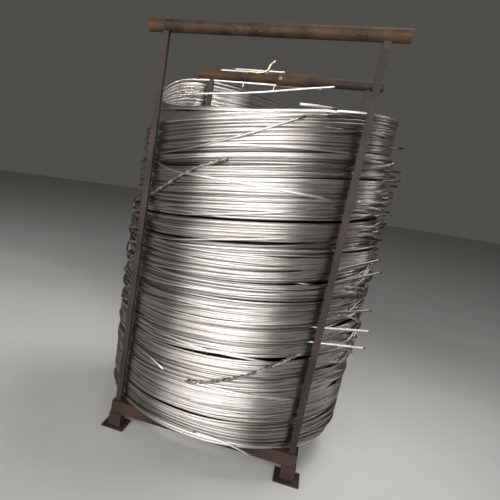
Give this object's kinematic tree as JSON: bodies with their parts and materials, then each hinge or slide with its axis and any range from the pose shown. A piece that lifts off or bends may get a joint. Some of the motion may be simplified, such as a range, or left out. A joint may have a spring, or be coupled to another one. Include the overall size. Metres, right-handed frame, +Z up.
{
  "type": "racked coil stack of steel tubing",
  "caption": "Tall hollow stack of bright wound steel tubing with loose slanting turns on top, held by four square posts on a footed base with pipes across the top.",
  "frame": {"origin": "on the floor, under the middle of the stack", "axes": "+Z up along the stack's axis, +Y to the back, +X to the right, parallel to the pipes"},
  "size_m": [1.1212, 1.1212, 1.823],
  "materials": {
    "tubing": "bright drawn stainless tube with a satin sheen",
    "rusty_bar": "mild steel bar with dark brown rust",
    "rusty_beam": "mild steel with dark brown rust",
    "rusty_pipe": "mild steel pipe with brown rust",
    "bolt": "worn bolt head"
  },
  "bodies": {
    "root": {"coil_bottom": "tubing", "coil_lower": "tubing", "coil_middle": "tubing", "coil_upper": "tubing", "coil_top": "tubing", "loose_turns": "tubing", "post_front_left": "rusty_bar", "post_front_right": "rusty_bar", "post_back_left": "rusty_bar", "post_back_right": "rusty_bar", "base_beam_front": "rusty_beam", "base_beam_back": "rusty_beam", "base_beam_left": "rusty_beam", "base_beam_right": "rusty_beam", "foot_front_left": "rusty_beam", "foot_front_right": "rusty_beam", "foot_back_left": "rusty_beam", "foot_back_right": "rusty_beam", "top_pipe_front": "rusty_pipe", "top_pipe_back": "rusty_pipe", "pipe_sleeve": "rusty_pipe", "sleeve_bolt": "bolt"}
  },
  "joints": []
}
